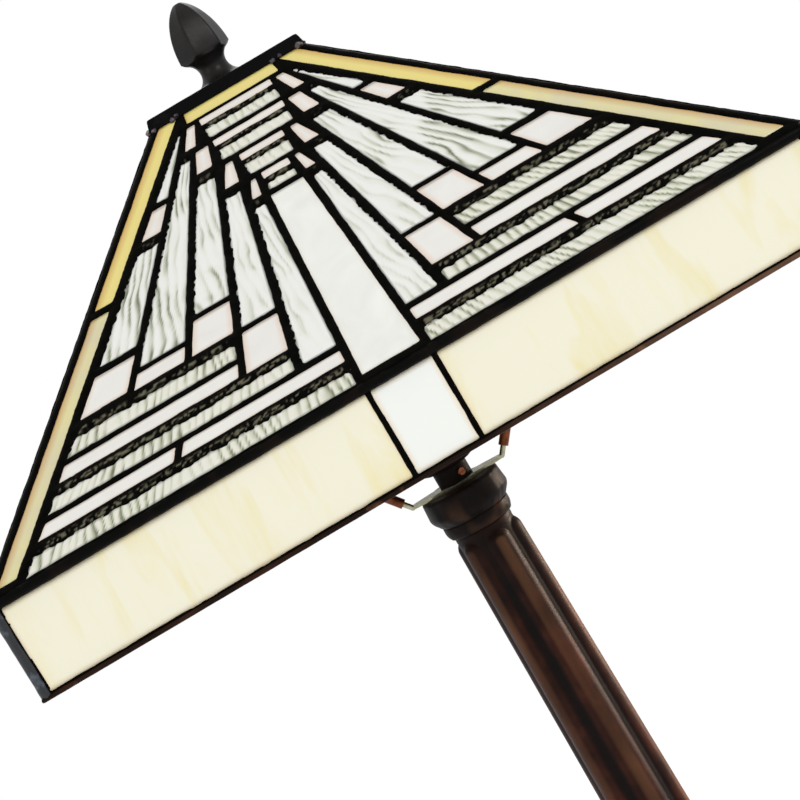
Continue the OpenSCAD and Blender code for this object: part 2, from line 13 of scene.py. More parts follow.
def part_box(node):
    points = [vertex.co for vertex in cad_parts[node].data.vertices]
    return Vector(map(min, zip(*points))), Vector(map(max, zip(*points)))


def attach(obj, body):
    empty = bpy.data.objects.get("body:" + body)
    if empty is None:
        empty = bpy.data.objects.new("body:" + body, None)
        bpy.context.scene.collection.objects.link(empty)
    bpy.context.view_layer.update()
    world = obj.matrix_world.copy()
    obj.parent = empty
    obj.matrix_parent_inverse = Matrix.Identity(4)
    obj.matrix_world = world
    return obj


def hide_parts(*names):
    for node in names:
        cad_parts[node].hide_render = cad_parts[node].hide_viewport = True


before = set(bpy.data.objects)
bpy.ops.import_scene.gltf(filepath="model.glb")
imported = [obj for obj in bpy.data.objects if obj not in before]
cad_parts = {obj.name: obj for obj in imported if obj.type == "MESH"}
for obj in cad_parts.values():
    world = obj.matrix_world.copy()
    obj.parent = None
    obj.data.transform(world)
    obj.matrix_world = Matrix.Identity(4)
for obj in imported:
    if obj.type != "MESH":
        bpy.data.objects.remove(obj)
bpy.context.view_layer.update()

MM = 0.001
SIDES = ("front", "right", "back", "left")


# ---------------------------------------------------------------- camera

def add_camera():
    """The lamp leans to the upper left in the picture, so the camera is rolled by lean."""
    lean = math.radians(30.5)
    pitch = math.radians(7.0)
    yaw = math.radians(0.5)
    place = Vector((-0.0138, -1.0999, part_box("bottom_rim")[0].z + 0.1449))        # metres
    look = Vector((math.sin(yaw) * math.cos(pitch), math.cos(yaw) * math.cos(pitch), -math.sin(pitch)))
    level = look.cross(Vector((0, 0, 1))).normalized()
    upright = level.cross(look)
    right = level * math.cos(lean) - upright * math.sin(lean)
    up = level * math.sin(lean) + upright * math.cos(lean)
    data = bpy.data.cameras.new("camera")
    data.sensor_width = 36
    data.lens = 95.43
    camera = bpy.data.objects.new("camera", data)
    camera.matrix_world = Matrix((
        (right.x, up.x, -look.x, place.x),
        (right.y, up.y, -look.y, place.y),
        (right.z, up.z, -look.z, place.z),
        (0, 0, 0, 1),
    ))
    bpy.context.scene.collection.objects.link(camera)
    bpy.context.scene.camera = camera


add_camera()


# ---------------------------------------------------------------- numbers

def hashed(cell, seed):
    """A fixed pseudo-random value from 0 to 1 for each lattice point."""
    h = (cell[..., 0] * 73856093) ^ (cell[..., 1] * 19349663) ^ (cell[..., 2] * 83492791)
    h = (h ^ (seed * 2654435761)) & 0xFFFFFFFF
    h = ((h ^ (h >> 15)) * 2246822519) & 0xFFFFFFFF
    h = ((h ^ (h >> 13)) * 3266489917) & 0xFFFFFFFF
    return (h ^ (h >> 16)) / 4294967295.0


def noise(points, seed=0):
    """Smooth noise from -1 to 1 at an array of 3-D points, with features about 1 unit wide."""
    points = np.asarray(points, float)
    cell = np.floor(points).astype(np.int64)
    f = points - cell
    f = f * f * (3 - 2 * f)
    total = np.zeros(points.shape[:-1])
    for corner in np.ndindex(2, 2, 2):
        weight = np.ones(points.shape[:-1])
        for axis in range(3):
            weight = weight * (f[..., axis] if corner[axis] else 1 - f[..., axis])
        total += weight * hashed(cell + np.array(corner), seed)
    return 2 * total - 1


def noise2(x, y, seed=0):
    return noise(np.stack([x, y, np.zeros_like(x) + 0.37], -1), seed)


def smooth_step(x, low, high):
    t = np.clip((x - low) / (high - low), 0, 1)
    return t * t * (3 - 2 * t)


def smooth_max(a, b, k):
    """The larger of a and b, with the change from one to the other rounded over k."""
    h = np.clip(k - np.abs(a - b), 0, None) / k
    return np.maximum(a, b) + h * h * k / 4


def rgb(code):
    """Linear colour of an sRGB hex code."""
    parts = [int(code[i:i + 2], 16) / 255 for i in (0, 2, 4)]
    return tuple(c / 12.92 if c <= 0.04045 else ((c + 0.055) / 1.055) ** 2.4 for c in parts)


# ---------------------------------------------------------------- meshes

def make(name, verts, faces, finish, body, replaces=(), slot=None, values=None):
    """A mesh piece from millimetre points. values maps attribute names to one number per point."""
    mesh = bpy.data.meshes.new(name)
    mesh.from_pydata((np.asarray(verts, float) * MM).tolist(), [], [list(map(int, f)) for f in faces])
    for key, numbers in (values or {}).items():
        layer = mesh.attributes.new(key, "FLOAT", "POINT")
        layer.data.foreach_set("value", np.asarray(numbers, np.float32))
    mesh.polygons.foreach_set("use_smooth", [True] * len(mesh.polygons))
    mesh.update()
    piece = bpy.data.objects.new(name, mesh)
    bpy.context.scene.collection.objects.link(piece)
    mesh.materials.append(finish)
    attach(piece, body)
    if replaces:
        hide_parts(*replaces)


class Pile:
    """Collects points, faces and point values of several shapes into one mesh."""

    def __init__(self):
        self.verts, self.faces, self.values, self.count = [], [], {}, 0

    def add(self, verts, faces, **values):
        self.faces += [tuple(i + self.count for i in face) for face in faces]
        self.verts.append(np.asarray(verts, float))
        self.count += len(verts)
        for key, numbers in values.items():
            self.values.setdefault(key, []).append(np.broadcast_to(numbers, len(verts)))

    def make(self, name, finish, body, **options):
        values = {key: np.concatenate(parts) for key, parts in self.values.items()}
        make(name, np.concatenate(self.verts), self.faces, finish, body, values=values, **options)


def grid_faces(rows, columns, wrap=False):
    """Quads between rows of points. wrap joins each row's last point to its first."""
    return [
        (r * columns + c, r * columns + (c + 1) % columns,
         (r + 1) * columns + (c + 1) % columns, (r + 1) * columns + c)
        for r in range(rows - 1) for c in range(columns if wrap else columns - 1)
    ]


def turned(points, side):
    """Points of the front side turned to another side."""
    angle = math.pi / 2 * side
    c, s = round(math.cos(angle)), round(math.sin(angle))
    x, y = points[..., 0], points[..., 1]
    return np.stack([c * x - s * y, s * x + c * y, points[..., 2]], -1)


def rod(start, end, radius, seed, lump):
    """A hand-run bead of solder from start to end, closed at both ends, with swells of about lump."""
    step, segments = 1.2, 14
    start, end = np.array(start, float), np.array(end, float)
    length = np.linalg.norm(end - start)
    along = (end - start) / length
    across = np.cross(along, [0.31, 0.17, 0.93])
    across /= np.linalg.norm(across)
    third = np.cross(along, across)
    rows = max(int(length / step), 2) + 1
    t = np.linspace(0, 1, rows)[:, None]
    angle = np.linspace(0, 2 * math.pi, segments, endpoint=False)[None, :]
    centre = start + (end - start) * t
    ray = across * np.cos(angle)[..., None] + third * np.sin(angle)[..., None]
    at = centre[:, None, :] + ray * radius
    swell = noise(at / 9, seed) * lump + noise(at / 3, seed + 1) * lump * 0.5
    verts = (at + ray * swell[..., None]).reshape(-1, 3)
    faces = grid_faces(rows, segments, wrap=True)
    faces += [tuple(range(segments))[::-1], tuple(range((rows - 1) * segments, rows * segments))]
    return verts, faces


def blob(centre, size, seed, squash, rough):
    """A knot of solder: a sphere with an uneven skin."""
    bm = bmesh.new()
    bmesh.ops.create_icosphere(bm, subdivisions=3, radius=1)
    ray = np.array([v.co for v in bm.verts])
    faces = [tuple(v.index for v in f.verts) for f in bm.faces]
    bm.free()
    swell = 1 + rough * noise(ray * 1.4 + seed * 3.1, seed) + rough * 0.4 * noise(ray * 3.5, seed + 5)
    return np.array(centre) + ray * swell[:, None] * np.array(squash) * size, faces


def revolve(profile, segments, radius_at=None):
    """Points and quads of an outline of (radius, height) turned about Z. radius_at may reshape a ring."""
    angle = np.linspace(0, 2 * math.pi, segments, endpoint=False)
    rings = []
    for r, z in profile:
        ring = radius_at(r, z, angle) if radius_at else np.full(segments, float(r))
        rings.append(np.stack([ring * np.cos(angle), ring * np.sin(angle), np.full(segments, float(z))], -1))
    return np.concatenate(rings), grid_faces(len(profile), segments, wrap=True)


def square_ring(profile, count, lump, seed):
    """An (outward, up) outline, closed, run around the four sides, mitred at the corners and made uneven."""
    profile = np.array(profile, float)
    t = np.linspace(-1, 1, count, endpoint=False)
    rings = []
    for side in range(4):
        for along in t:
            ring = np.stack([along * profile[:, 0], -profile[:, 0], profile[:, 1]], -1)
            rings.append(turned(ring, side))
    verts = np.concatenate(rings)
    total = 4 * count
    outward = np.tile(profile - profile.mean(0), (total, 1))
    swell = noise(verts / 8, seed) * lump + noise(verts / 3, seed + 1) * lump * 0.5
    scale = swell / (np.linalg.norm(outward, axis=1) + 1)
    verts[:, 2] += outward[:, 1] * scale
    reach = np.maximum(np.abs(verts[:, :2]).max(1), 1)
    verts[:, :2] *= (1 + outward[:, 0] * scale / reach)[:, None]
    size = len(profile)
    faces = [
        (r * size + c, r * size + (c + 1) % size,
         (r + 1) % total * size + (c + 1) % size, (r + 1) % total * size + c)
        for r in range(total) for c in range(size)
    ]
    return verts, faces


# ---------------------------------------------------------------- materials

class Finish:
    """A node material being wired up. Coordinates are metres in the row frame."""

    def __init__(self, name, **sockets):
        self.material = bpy.data.materials.new(name)
        self.material.use_nodes = True
        self.tree = self.material.node_tree
        self.shader = self.tree.nodes["Principled BSDF"]
        for socket, value in sockets.items():
            self.shader.inputs[socket.replace("_", " ")].default_value = value
        self.coordinates = self.tree.nodes.new("ShaderNodeTexCoord").outputs["Object"]

    def node(self, kind, inputs=None, **settings):
        made = self.tree.nodes.new("ShaderNode" + kind)
        for key, value in settings.items():
            setattr(made, key, value)
        for key, value in (inputs or {}).items():
            if isinstance(value, bpy.types.NodeSocket):
                self.tree.links.new(value, made.inputs[key])
            else:
                made.inputs[key].default_value = value
        return made

    def noise(self, size_mm, detail=2.0, stretch=(1, 1, 1), twist=0.0, rough=0.5):
        scaled = self.node("Mapping", {"Vector": self.coordinates, "Scale": stretch})
        made = self.node("TexNoise", {
            "Vector": scaled.outputs["Vector"], "Scale": 1000 / size_mm, "Detail": detail,
            "Distortion": twist, "Roughness": rough,
        })
        return made.outputs["Fac"]

    def attribute(self, name):
        return self.node("Attribute", attribute_name=name).outputs["Fac"]

    def ramp(self, factor, *stops):
        made = self.node("ValToRGB", {"Fac": factor})
        points = made.color_ramp.elements
        while len(points) < len(stops):
            points.new(0.5)
        for point, (position, colour) in zip(points, stops):
            point.position = position
            value = (colour,) * 3 if isinstance(colour, (int, float)) else colour
            point.color = (*value, 1)
        return made.outputs["Color"]

    def mix(self, factor, a, b, blend="MIX"):
        made = self.node("Mix", data_type="RGBA", blend_type=blend)
        first, second = made.inputs[6], made.inputs[7]        # the colour pair of a Mix node
        for socket, value in ((made.inputs["Factor"], factor), (first, a), (second, b)):
            if isinstance(value, bpy.types.NodeSocket):
                self.tree.links.new(value, socket)
            elif isinstance(value, (int, float)):
                socket.default_value = value
            else:
                socket.default_value = (*value, 1)
        return made.outputs[2]        # its colour result

    def times(self, a, b):
        return self.node("Math", {0: a, 1: b}, operation="MULTIPLY").outputs[0]

    def colour(self, output):
        self.tree.links.new(output, self.shader.inputs["Base Color"])

    def roughness(self, factor, low, high):
        spread = self.node("MapRange", {"Value": factor, "To Min": low, "To Max": high})
        self.tree.links.new(spread.outputs["Result"], self.shader.inputs["Roughness"])

    def bump(self, height, depth_mm):
        made = self.node("Bump", {"Height": height, "Distance": depth_mm * MM, "Strength": 1.0})
        self.tree.links.new(made.outputs["Normal"], self.shader.inputs["Normal"])


def lead_finish():
    f = Finish("lead_patina", Specular_IOR_Level=0.02)
    tone = f.ramp(f.noise(7, 3), (0.35, rgb("040403")), (0.7, rgb("0B0A08")))
    # light flecks where the painted glint is high: painted highlights of the glass beside the lead
    f.colour(f.mix(f.attribute("painted_glint"), tone, rgb("6E6A57")))
    f.roughness(f.noise(4, 2), 0.3, 0.55)
    f.bump(f.noise(1.6, 2), 0.12)
    return f.material


def bead_finish(name, dark, light, brown, amount, shine=0.05, wear_and_light=None):
    """The heavier runs of solder: patina with brown and lighter rubbed places. A last colour is painted light
    towards +X.
    """
    f = Finish(name, Specular_IOR_Level=shine)
    tone = f.ramp(f.noise(9, 3), (0.3, dark), (0.62, dark), (0.78, light))
    patch = f.ramp(f.noise(26, 3, twist=0.6), (0.45, 0.0), (0.7, amount))
    tone = f.mix(patch, tone, brown)
    if wear_and_light:
        across = f.node("SeparateXYZ", {"Vector": f.coordinates}).outputs["X"]
        # painted light: the last colour grows towards +X, the side that faces the light
        painted_side_light = f.node("MapRange", {"Value": across, "From Min": 0.02, "From Max": 0.19, "To Max": 0.75})
        tone = f.mix(f.times(painted_side_light.outputs["Result"], f.noise(14, 3)), tone, wear_and_light)
    f.colour(tone)
    f.roughness(f.noise(5, 2), 0.28, 0.5)
    f.bump(f.noise(2.2, 3), 0.2)
    return f.material


def knot_finish():
    f = Finish("solder_knot", Metallic=0.55)
    f.colour(f.ramp(f.noise(3.5, 3), (0.35, rgb("201F24")), (0.55, rgb("5E555C")), (0.75, rgb("B7A9A6"))))
    f.roughness(f.noise(2, 2), 0.22, 0.45)
    f.bump(f.noise(1.4, 2), 0.15)
    return f.material


def opal_finish(name, low, high, fringe, painted_edge_amount, size_mm=30, far=None):
    """Opalescent sheet glass: soft wisps, a painted warm line where the edge catches light, a fire-polished
    skin.

    A pane's tone moves its colour towards far, or less strongly towards high.
    """
    f = Finish(name, Specular_IOR_Level=0.5, Coat_Weight=0.25, Coat_Roughness=0.08)
    wisps = f.noise(size_mm, 3, twist=1.2)
    body = f.ramp(wisps, (0.3, low), (0.7, high))
    tone = f.mix(f.times(f.attribute("tone"), 0.8 if far else 0.5), body, far or high)
    # painted light: a warm line along the pane's edge
    tone = f.mix(f.times(f.attribute("fringe"), painted_edge_amount), tone, fringe)
    f.colour(tone)
    f.roughness(f.noise(12, 2), 0.14, 0.26)
    f.bump(f.noise(14, 2), 0.25)
    return f.material


def skirt_finish():
    """Cream opal glass with thin yellow wisps that run down the pane, or white where tone is 1."""
    f = Finish("skirt_opal", Specular_IOR_Level=0.5, Coat_Weight=0.25, Coat_Roughness=0.08)
    streak = f.noise(20, 4, (1, 1, 0.22), twist=0.8, rough=0.55)
    fine = f.noise(8, 3, (1, 1, 0.16), twist=0.5, rough=0.5)
    body = f.ramp(streak, (0.3, rgb("F0ECD6")), (0.52, rgb("F0ECD5")), (0.64, rgb("EEE6BE")),
                  (0.8, rgb("EADC9C")))
    body = f.mix(f.ramp(fine, (0.58, 0.0), (0.78, 0.3)), body, rgb("EEE4A8"))
    white = f.mix(f.times(streak, 0.3), rgb("F1F3EE"), rgb("ECEEE6"))
    tone = f.mix(f.attribute("tone"), body, white)
    # painted light: a warm line along each pane's edge
    f.colour(f.mix(f.times(f.attribute("fringe"), 0.6), tone, rgb("EED7AE")))
    f.roughness(f.noise(12, 2), 0.16, 0.28)
    f.bump(f.noise(16, 2), 0.25)
    return f.material


def clear_finish():
    """Water glass: ripples in the mesh itself, nearly white, painted highlights on crests, painted grey-green
    shade in hollows.
    """
    f = Finish("clear_ripple", Specular_IOR_Level=0.6, IOR=1.5, Transmission_Weight=0.08)
    # painted light: ripple crests painted white as highlights, hollows painted grey-green as shade
    body = f.ramp(f.attribute("wave"), (0.0, rgb("7C826D")), (0.2, rgb("BABFAE")), (0.42, rgb("E0E3D8")),
                  (0.66, rgb("F8F9F4")), (0.88, rgb("FFFFFF")))
    body = f.mix(f.attribute("tone"), body, rgb("F4F2E2"), "MULTIPLY")
    # painted shade: a dark line along the pane's edge, standing for the lead seen through the glass
    f.colour(f.mix(f.attribute("fringe"), body, rgb("1C1E16")))
    f.roughness(f.noise(9, 2), 0.06, 0.16)
    return f.material


def bronze_finish():
    """Oil-rubbed bronze: black patina in hollows and painted shade under the lamp shade, and bright where rub
    is 1.
    """
    f = Finish("oil_rubbed_bronze", Metallic=0.04, Specular_IOR_Level=0.07)
    tone = f.ramp(f.noise(16, 4), (0.3, rgb("1C0E0A")), (0.55, rgb("2F1812")), (0.75, rgb("43231A")))
    wear_and_light = f.ramp(f.noise(22, 3, (1, 1, 0.4)), (0.5, 0.0), (0.75, 0.6))
    tone = f.mix(wear_and_light, tone, rgb("562D20"))
    # black: dark patina in hollows, and painted shade where the lamp shade shadows the stand
    tone = f.mix(f.attribute("patina_and_shade"), tone, rgb("090A0A"))
    f.colour(f.mix(f.attribute("rub"), tone, rgb("A0704F")))
    f.roughness(f.noise(8, 3), 0.38, 0.54)
    f.bump(f.noise(2.5, 3), 0.1)
    return f.material


def metal_finish(name, dark, light, low=0.2, high=0.4, metallic=1.0, size_mm=8):
    f = Finish(name, Metallic=metallic, Specular_IOR_Level=0.2)
    f.colour(f.ramp(f.noise(size_mm, 3), (0.3, dark), (0.7, light)))
    f.roughness(f.noise(size_mm * 0.6, 3), low, high)
    f.bump(f.noise(size_mm * 0.25, 2), 0.05)
    return f.material


def plain_finish(name, dark, light, low, high, size_mm, depth_mm, **sockets):
    f = Finish(name, **sockets)
    f.colour(f.ramp(f.noise(size_mm, 4), (0.3, dark), (0.7, light)))
    f.roughness(f.noise(size_mm, 2), low, high)
    f.bump(f.noise(size_mm * 0.5, 3), depth_mm)
    return f.material


LEAD = lead_finish()
BEAD = bead_finish("solder_bead", rgb("050504"), rgb("15130F"), rgb("24170F"), 0.5)
CORNER = bead_finish("corner_bead", rgb("171C22"), rgb("5C6672"), rgb("16100D"), 0.4, shine=0.5)
# the rim is painted lighter towards +X, a painted light on its lit side
RIM = bead_finish("rim_bronze", rgb("1F130D"), rgb("6A4632"), rgb("3A2519"), 0.8, wear_and_light=rgb("A27A62"))
CAP = bead_finish("cap_patina", rgb("070708"), rgb("131215"), rgb("140E0D"), 0.3)
KNOT = knot_finish()
WHITE = opal_finish("white_opal", rgb("ECE9E3"), rgb("F3F1EB"), rgb("EBC6A8"), 0.5)
CENTRE = opal_finish("centre_opal", rgb("EEEFE8"), rgb("F7F9F2"), rgb("EFD9BC"), 0.35)
YELLOW = opal_finish("yellow_opal", rgb("DAD4B6"), rgb("E6DEA6"), rgb("C98C45"), 0.8, 36, far=rgb("F3E07A"))
SKIRT = skirt_finish()
CLEAR = clear_finish()
BRONZE = bronze_finish()
DARK_METAL = metal_finish("satin_dark_metal", rgb("1E1C1B"), rgb("2A2827"), 0.26, 0.4, 0.3, 10)
BRASS = metal_finish("satin_brass", rgb("9C7B3C"), rgb("C6A55C"))
OLD_BRASS = metal_finish("antique_brass", rgb("6E6A50"), rgb("B4B29A"), 0.16, 0.3)
COPPER = metal_finish("copper_ferrule", rgb("4A261A"), rgb("8A5238"), 0.16, 0.28, 0.85)
NICKEL = metal_finish("nickel", rgb("B9B6AE"), rgb("D8D5CC"), 0.18, 0.3)
STEEL = metal_finish("zinc_steel", rgb("8A8A88"), rgb("B4B4B0"), 0.3, 0.45)
HUB = plain_finish("hub_bronze", rgb("080504"), rgb("140C09"), 0.45, 0.6, 7, 0.05, Specular_IOR_Level=0.06)
IRON = plain_finish("cast_iron", rgb("1C1C1E"), rgb("303033"), 0.6, 0.8, 5, 0.3, Metallic=0.5)
PHENOLIC = plain_finish("phenolic", rgb("17110D"), rgb("241A14"), 0.3, 0.42, 6, 0.04)
CARD = plain_finish("pressed_card", rgb("9B8262"), rgb("B49A76"), 0.8, 0.95, 3, 0.08)
RUBBER = plain_finish("black_rubber", rgb("0D0D0D"), rgb("191919"), 0.5, 0.7, 4, 0.05)
FELT = plain_finish("green_felt", rgb("1D3A26"), rgb("2E5238"), 0.9, 1.0, 1.2, 0.5, Sheen_Weight=0.4)
FROST = plain_finish("frosted_bulb", rgb("F4F3EE"), rgb("FAF9F5"), 0.35, 0.5, 20, 0.02)


# ---------------------------------------------------------------- glazed walls

GLASS_T = 3.0        # thickness of the glass
STEP = 0.78          # spacing of the lead's mesh
FAR = 9.0            # more than any distance inside the lead that changes its height
LEAST = 0.06         # no grid point lies nearer than this to a cut, so no sliver is made
BEAD_EDGE = 1.9      # width of the rounded edge of the lead
BEAD_RISE = 0.72     # height of the lead over the glass
BAR = 2.2            # a clear pane this many times wider than tall is a bar of rope glass


def is_bar(quad):
    """Whether a pane, given by its corners, is a bar."""
    return quad[1][0] - quad[0][0] > BAR * (quad[2][1] - quad[1][1])


class Wall:
    """The plane of a glazed wall: u runs along it, s up it and n out of it, all in millimetres.

    bite is how far the lead's face covers the edge of the glass.
    """

    def __init__(self, came, glass, bite):
        self.bite = bite
        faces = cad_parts[glass].data.polygons
        normal = max((f for f in faces if f.normal.y < -0.3), key=lambda f: f.area).normal
        self.pitch = math.atan2(-normal.y, normal.z)
        points = self.local(mesh_points(came))
        self.centre = (points[:, 2].min() + points[:, 2].max()) / 2
        self.low, self.high = points[:, 1].min(), points[:, 1].max()
        self.half_low = np.abs(points[points[:, 1] < self.low + 0.2, 0]).max()
        self.half_high = np.abs(points[points[:, 1] > self.high - 0.2, 0]).max()

    def local(self, points):
        out, z = -points[:, 1], points[:, 2]
        s = -out * math.cos(self.pitch) + z * math.sin(self.pitch)
        n = out * math.sin(self.pitch) + z * math.cos(self.pitch)
        return np.stack([points[:, 0], s, n], -1)

    def place(self, u, s, n, side):
        """Row-frame points of wall coordinates, with n counted from the middle of the glass."""
        n = n + self.centre
        out = -s * math.cos(self.pitch) + n * math.sin(self.pitch)
        z = s * math.sin(self.pitch) + n * math.cos(self.pitch)
        return turned(np.stack([u, -out, z], -1), side)

    def half(self, s):
        """Half the width of the wall at a height up it."""
        return self.half_low + (self.half_high - self.half_low) * (s - self.low) / (self.high - self.low)

    def panes(self, node):
        """The four corners of each pane in a front node: foot left, foot right, top right, top left."""
        bm = bmesh.new()
        bm.from_mesh(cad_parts[node].data)
        bmesh.ops.remove_doubles(bm, verts=bm.verts, dist=1e-5)
        found, seen = [], set()
        for start in bm.verts:
            if start in seen:
                continue
            island, queue = [], [start]
            seen.add(start)
            while queue:
                vert = queue.pop()
                island.append(vert)
                for edge in vert.link_edges:
                    other = edge.other_vert(vert)
                    if other not in seen:
                        seen.add(other)
                        queue.append(other)
            points = self.local(np.array([v.co for v in island]) / MM)
            front = points[points[:, 2] > self.centre][:, :2]
            middle = front[:, 1].mean()
            foot = sorted(front[front[:, 1] < middle].tolist())
            top = sorted(front[front[:, 1] > middle].tolist())
            found.append(np.array([foot[0], foot[-1], top[-1], top[0]]))
        bm.free()
        return sorted(found, key=lambda q: (round(q[0][1], 1), q[0][0]))


def mesh_points(node):
    return np.array([v.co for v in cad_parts[node].data.vertices]) / MM


def edge_distances(quad, u, s, bite):
    """Distance outside each edge of a pane's visible outline, which is the pane less the bite of the lead."""
    found = []
    for a, b in zip(quad, np.roll(quad, -1, axis=0)):
        d = b - a
        length = np.hypot(*d)
        found.append(((u - a[0]) * d[1] - (s - a[1]) * d[0]) / length + bite)
    return found


def outside(quad, u, s, bite, corner=0.5):
    """Distance outside a pane's visible outline, with rounded corners."""
    foot, right, top, left = edge_distances(quad, u, s, bite)
    return smooth_max(smooth_max(foot, top, corner), smooth_max(right, left, corner), corner)


def lead_mesh(wall, cells, side, seed):
    """The lead lattice of a wall as one closed mesh, with each cell's opening cut along a wavering line.

    cells is a list of (corners, kind). Returns points, faces and each point's painted glint, a painted
    highlight.
    """
    columns = int(2 * wall.half_low / STEP) + 2
    rows = int((wall.high - wall.low) / STEP) + 2
    us = np.linspace(-wall.half_low, wall.half_low, columns)
    ss = np.linspace(wall.low, wall.high, rows)
    u, s = np.meshgrid(us, ss)
    depth = np.full(u.shape, FAR)
    painted_glint = np.zeros(u.shape)
    waver = 0.22 * noise2(u / 7, s / 7, seed) + 0.1 * noise2(u / 2.6, s / 2.6, seed + 1)
    jag = noise2(u / 1.9, s / 1.5, seed + 2)
    ragged = noise2(u / 3.4, s / 3.4, seed + 3)
    fleck = noise2(u / 1.3, s / 0.9, seed + 4)
    around = 8
    for quad, kind in cells:
        near_u = (us > quad[:, 0].min() - around) & (us < quad[:, 0].max() + around)
        near_s = (ss > quad[:, 1].min() - around) & (ss < quad[:, 1].max() + around)
        part = np.ix_(near_s, near_u)
        pu, ps = u[part], s[part]
        gap = outside(quad, pu, ps, wall.bite) + waver[part]
        if kind == "clear":
            foot, right, top, left = edge_distances(quad, pu, ps, wall.bite)
            outer = right if quad[:, 0].mean() > 0 else left
            ends = np.maximum(smooth_step(top, -3.2, 0), 0.9 * smooth_step(outer, -2.6, 0))
            gap = gap + 0.25 * ragged[part] + ends * (0.45 + 1.4 * jag[part])
            # a band of light flecks over the lead just above each clear pane: painted highlights of the
            # glass, brightest on bars
            above = smooth_step(top, 0.15, 0.6) * smooth_step(-top, -3.4, -2.8)
            above = above * (np.maximum(right, left) < -2)
            painted_flecks = (0.95 if is_bar(quad) else 0.4) * above * smooth_step(fleck[part], -0.05, 0.45)
            painted_glint[part] = np.maximum(painted_glint[part], painted_flecks)
        depth[part] = np.minimum(depth[part], gap)
    depth = np.where(np.abs(depth) < LEAST, LEAST, depth)
    edge = wall.half(s) - np.abs(u)
    inside = np.minimum(depth, np.where(np.abs(edge) < LEAST, LEAST, edge) + 1e-6)
    return close_lattice(wall, side, seed, u, s, depth, inside, painted_glint)


def close_lattice(wall, side, seed, u, s, depth, inside, painted_glint):
    """Cuts the sheet of triangles where inside crosses zero, and closes it front, back and round each hole.

    depth, the distance from the nearest opening, gives the height of the lead's face.
    """
    rows, columns = u.shape
    flat = {"u": u.ravel(), "s": s.ravel(), "depth": depth.ravel(), "painted_glint": painted_glint.ravel()}
    field = inside.ravel()
    index = np.arange(rows * columns).reshape(rows, columns)
    a, b = index[:-1, :-1].ravel(), index[:-1, 1:].ravel()
    c, d = index[1:, 1:].ravel(), index[1:, :-1].ravel()
    kept = field > 0
    whole = kept[a] & kept[b] & kept[c] & kept[d]
    quads = np.stack([a, b, c, d], -1)[whole]
    cut = ~whole & (kept[a] | kept[b] | kept[c] | kept[d])
    triangles = np.concatenate([np.stack([a, b, c], -1)[cut], np.stack([a, c, d], -1)[cut]])
    crossings, faces = {}, []
    extra = {key: [] for key in flat}

    def crossing(i, j):
        key = (i, j) if i < j else (j, i)
        if key not in crossings:
            t = field[i] / (field[i] - field[j])
            crossings[key] = rows * columns + len(crossings)
            for name, values in flat.items():
                extra[name].append(values[i] + (values[j] - values[i]) * t)
        return crossings[key]

    for triangle in triangles.tolist():
        shape = []
        for i, j in zip(triangle, triangle[1:] + triangle[:1]):
            if kept[i]:
                shape.append(i)
            if kept[i] != kept[j]:
                shape.append(crossing(i, j))
        if len(shape) > 2:
            faces.append(shape)
    faces += quads.tolist()
    values = {key: np.concatenate([flat[key], extra[key]]) for key in flat}
    used = np.unique(np.concatenate([np.asarray(f) for f in faces]))
    number = np.full(len(values["u"]), -1)
    number[used] = np.arange(len(used))
    values = {key: numbers[used] for key, numbers in values.items()}
    faces = [[int(number[i]) for i in f] for f in faces]

    rise = np.clip(values["depth"], 0, None)
    round_part = np.sqrt(np.clip(1 - (1 - np.clip(rise / BEAD_EDGE, 0, 1)) ** 2, 0, 1))
    at = np.stack([values["u"], values["s"], 0 * rise], -1)
    lumps = 0.16 * noise(at / 5, seed + 6) + 0.07 * noise(at / 1.8, seed + 7)
    height = GLASS_T / 2 + round_part * (BEAD_RISE + lumps) + 0.12 * np.clip(rise - BEAD_EDGE, 0, 1.5)
    front = wall.place(values["u"], values["s"], height, side)
    back = wall.place(values["u"], values["s"], -height, side)
    count = len(front)
    border = {}
    for face in faces:
        for i, j in zip(face, face[1:] + face[:1]):
            if border.pop((j, i), None) is None:
                border[(i, j)] = True
    walls = [[j, i, i + count, j + count] for i, j in border]
    closed = faces + [[i + count for i in reversed(f)] for f in faces] + walls
    return np.concatenate([front, back]), closed, np.concatenate([values["painted_glint"], values["painted_glint"]])


